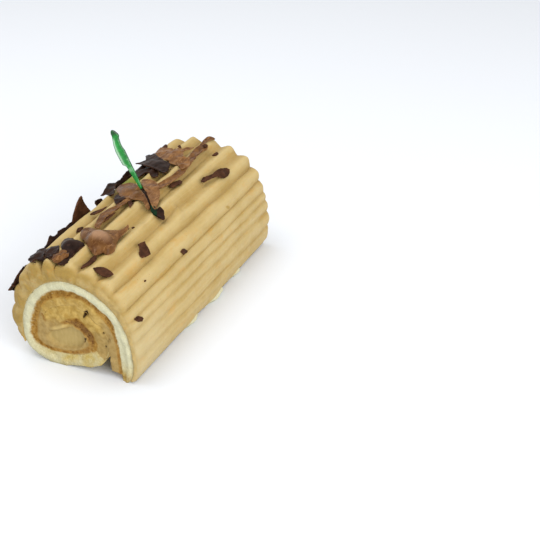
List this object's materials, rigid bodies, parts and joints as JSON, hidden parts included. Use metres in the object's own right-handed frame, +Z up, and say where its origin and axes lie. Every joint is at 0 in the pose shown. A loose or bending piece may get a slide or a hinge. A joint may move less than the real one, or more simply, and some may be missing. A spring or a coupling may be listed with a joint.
{
  "type": "yule log cake",
  "caption": "Rolled sponge cake with a combed coffee cream coat, coffee cream between its turns, dark and milk chocolate shavings on top and a green pick.",
  "frame": {"origin": "on the floor, in the flat foot that the roll rests on, halfway along the log", "axes": "+Z up, Y along the log with the cut end towards -Y, +X to the right as seen from the cut end"},
  "size_m": [0.1011, 0.2025, 0.119],
  "materials": {
    "sponge": "matte crumb",
    "coffee_filling": "matte, soft cream",
    "cream_coat": "satin, soft cream",
    "milk_chocolate": "satin",
    "dark_chocolate": "satin",
    "green_pick": "glossy, slightly translucent"
  },
  "bodies": {
    "root": {"sponge": "sponge", "coffee_filling": "coffee_filling", "cream_coat": "cream_coat", "green_pick": "green_pick", "milk_left_plate": "milk_chocolate", "milk_right_plate": "milk_chocolate", "milk_long_ribbon": "milk_chocolate", "milk_front_ribbon": "milk_chocolate", "milk_rear_plate": "milk_chocolate", "milk_rear_shaving": "milk_chocolate", "milk_big_curl": "milk_chocolate", "milk_front_curl": "milk_chocolate", "milk_flank_curl": "milk_chocolate", "dark_slit_shard": "dark_chocolate", "dark_pocket_shard": "dark_chocolate", "dark_rounded_curl": "dark_chocolate", "dark_slope_shard": "dark_chocolate", "dark_corner_shard": "dark_chocolate", "dark_front_spike": "dark_chocolate", "dark_large_shard": "dark_chocolate", "dark_under_shard": "dark_chocolate", "dark_ridge_chip": "dark_chocolate", "dark_square_chip": "dark_chocolate", "dark_triangle": "dark_chocolate", "dark_small_curl": "dark_chocolate", "dark_long_flake": "dark_chocolate", "dark_valley_flake": "dark_chocolate", "dark_square_flake": "dark_chocolate", "dark_oval_flake": "dark_chocolate", "dark_groove_shard": "dark_chocolate", "dark_flank_shard": "dark_chocolate"}
  },
  "joints": []
}
